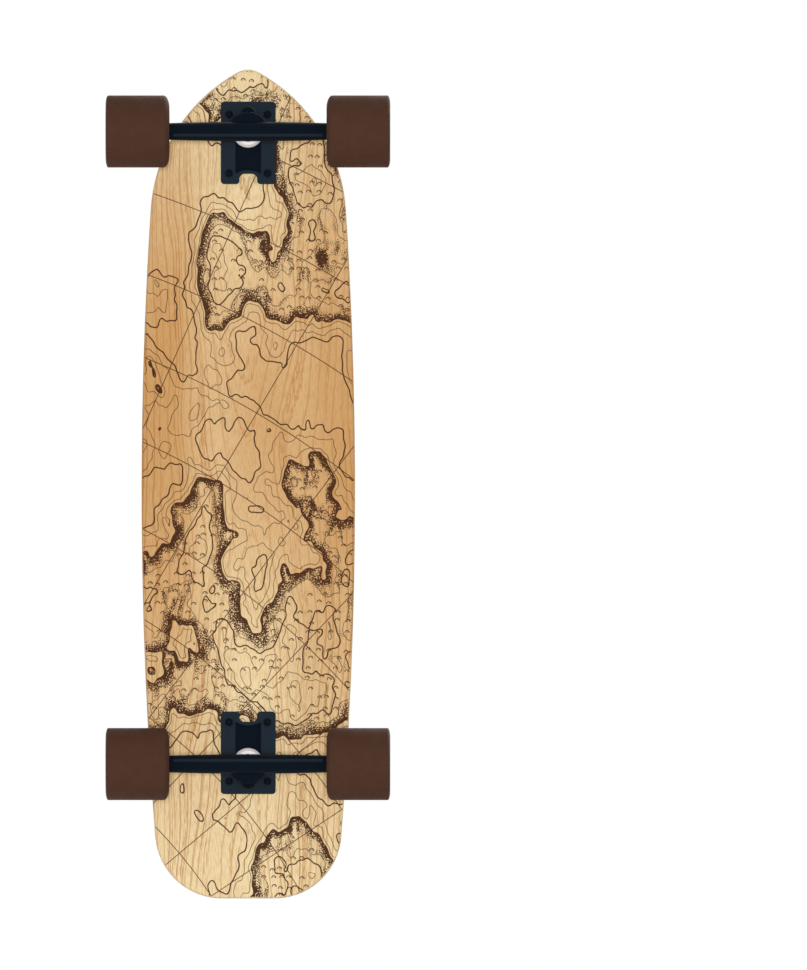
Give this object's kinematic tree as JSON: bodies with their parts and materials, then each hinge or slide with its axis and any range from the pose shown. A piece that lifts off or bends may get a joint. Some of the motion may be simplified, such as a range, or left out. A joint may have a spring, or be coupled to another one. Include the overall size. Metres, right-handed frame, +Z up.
{
  "type": "longboard skateboard",
  "caption": "Longboard with a pointed nose, a blunt tail and a maple deck on two steering trucks with wide soft wheels on ball bearings.",
  "frame": {"origin": "on the floor under the middle of the deck", "axes": "+Z up, +Y along the deck towards the tail, X across it along the axles"},
  "size_m": [0.3046, 0.8889, 0.1273],
  "materials": {
    "maple": "clear satin lacquer",
    "riser_rubber": "matt",
    "baseplate_paint": "satin powder coat on cast aluminium",
    "hanger_paint": "satin powder coat on cast aluminium",
    "cup_urethane": "matt",
    "black_steel": "black oxide on steel",
    "bushing_urethane": "smooth satin",
    "axle_steel": "bright",
    "bearing_steel": "polished",
    "shield_steel": "bright",
    "spacer_aluminium": "turned",
    "tyre_urethane": "smooth matt",
    "core_nylon": "moulded",
    "cage_nylon": "moulded"
  },
  "bodies": {
    "deck": {"deck": "maple", "front_riser": "riser_rubber", "front_baseplate": "baseplate_paint", "front_pivot_cup": "cup_urethane", "front_kingpin": "black_steel", "front_kingpin_nut": "black_steel", "front_roadside_bushing": "bushing_urethane", "front_boardside_bushing": "bushing_urethane", "front_bushing_washers": "black_steel", "front_deck_bolts": "black_steel", "front_deck_nuts": "black_steel", "rear_riser": "riser_rubber", "rear_baseplate": "baseplate_paint", "rear_pivot_cup": "cup_urethane", "rear_kingpin": "black_steel", "rear_kingpin_nut": "black_steel", "rear_roadside_bushing": "bushing_urethane", "rear_boardside_bushing": "bushing_urethane", "rear_bushing_washers": "black_steel", "rear_deck_bolts": "black_steel", "rear_deck_nuts": "black_steel"},
    "front_hanger": {"front_hanger": "hanger_paint", "front_axle": "axle_steel", "front_speed_rings": "axle_steel", "front_axle_nuts": "axle_steel", "front_bearing_inner_rings": "bearing_steel", "front_bearing_spacers": "spacer_aluminium"},
    "front_left_wheel": {"front_left_tyre": "tyre_urethane", "front_left_core": "core_nylon", "front_left_bearing_outer_rings": "bearing_steel", "front_left_bearing_shields": "shield_steel"},
    "front_left_ball_set": {"front_left_bearing_balls": "bearing_steel", "front_left_bearing_cages": "cage_nylon"},
    "front_right_wheel": {"front_right_tyre": "tyre_urethane", "front_right_core": "core_nylon", "front_right_bearing_outer_rings": "bearing_steel", "front_right_bearing_shields": "shield_steel"},
    "front_right_ball_set": {"front_right_bearing_balls": "bearing_steel", "front_right_bearing_cages": "cage_nylon"},
    "rear_hanger": {"rear_hanger": "hanger_paint", "rear_axle": "axle_steel", "rear_speed_rings": "axle_steel", "rear_axle_nuts": "axle_steel", "rear_bearing_inner_rings": "bearing_steel", "rear_bearing_spacers": "spacer_aluminium"},
    "rear_left_wheel": {"rear_left_tyre": "tyre_urethane", "rear_left_core": "core_nylon", "rear_left_bearing_outer_rings": "bearing_steel", "rear_left_bearing_shields": "shield_steel"},
    "rear_left_ball_set": {"rear_left_bearing_balls": "bearing_steel", "rear_left_bearing_cages": "cage_nylon"},
    "rear_right_wheel": {"rear_right_tyre": "tyre_urethane", "rear_right_core": "core_nylon", "rear_right_bearing_outer_rings": "bearing_steel", "rear_right_bearing_shields": "shield_steel"},
    "rear_right_ball_set": {"rear_right_bearing_balls": "bearing_steel", "rear_right_bearing_cages": "cage_nylon"}
  },
  "joints": [
    {"name": "front_steer", "type": "hinge", "parent": "deck", "child": "front_hanger", "pos_m": [0, -0.3764, 0.076], "axis": [0, -0.7071, 0.7071], "range_deg": [-15, 15], "stiffness_Nm_per_rad": 40, "deforming": ["front_roadside_bushing", "front_boardside_bushing"]},
    {"name": "front_left_wheel_spin", "type": "hinge", "parent": "front_hanger", "child": "front_left_wheel", "pos_m": [-0.113, -0.3774, 0.0386], "axis": [1, 0, 0], "continuous": true},
    {"name": "front_left_balls_spin", "type": "hinge", "parent": "front_hanger", "child": "front_left_ball_set", "pos_m": [-0.113, -0.3774, 0.0386], "axis": [1, 0, 0], "continuous": true},
    {"name": "front_right_wheel_spin", "type": "hinge", "parent": "front_hanger", "child": "front_right_wheel", "pos_m": [0.113, -0.3774, 0.0386], "axis": [1, 0, 0], "continuous": true},
    {"name": "front_right_balls_spin", "type": "hinge", "parent": "front_hanger", "child": "front_right_ball_set", "pos_m": [0.113, -0.3774, 0.0386], "axis": [1, 0, 0], "continuous": true},
    {"name": "rear_steer", "type": "hinge", "parent": "deck", "child": "rear_hanger", "pos_m": [0, 0.2987, 0.076], "axis": [0, -0.7071, -0.7071], "range_deg": [-15, 15], "stiffness_Nm_per_rad": 40, "deforming": ["rear_roadside_bushing", "rear_boardside_bushing"]},
    {"name": "rear_left_wheel_spin", "type": "hinge", "parent": "rear_hanger", "child": "rear_left_wheel", "pos_m": [-0.113, 0.2997, 0.0386], "axis": [1, 0, 0], "continuous": true},
    {"name": "rear_left_balls_spin", "type": "hinge", "parent": "rear_hanger", "child": "rear_left_ball_set", "pos_m": [-0.113, 0.2997, 0.0386], "axis": [1, 0, 0], "continuous": true},
    {"name": "rear_right_wheel_spin", "type": "hinge", "parent": "rear_hanger", "child": "rear_right_wheel", "pos_m": [0.113, 0.2997, 0.0386], "axis": [1, 0, 0], "continuous": true},
    {"name": "rear_right_balls_spin", "type": "hinge", "parent": "rear_hanger", "child": "rear_right_ball_set", "pos_m": [0.113, 0.2997, 0.0386], "axis": [1, 0, 0], "continuous": true}
  ],
  "couplings": [
    {"joint": "front_left_balls_spin", "follows": "front_left_wheel_spin", "ratio": 0.63},
    {"joint": "front_right_balls_spin", "follows": "front_right_wheel_spin", "ratio": 0.63},
    {"joint": "rear_left_balls_spin", "follows": "rear_left_wheel_spin", "ratio": 0.63},
    {"joint": "rear_right_balls_spin", "follows": "rear_right_wheel_spin", "ratio": 0.63}
  ]
}
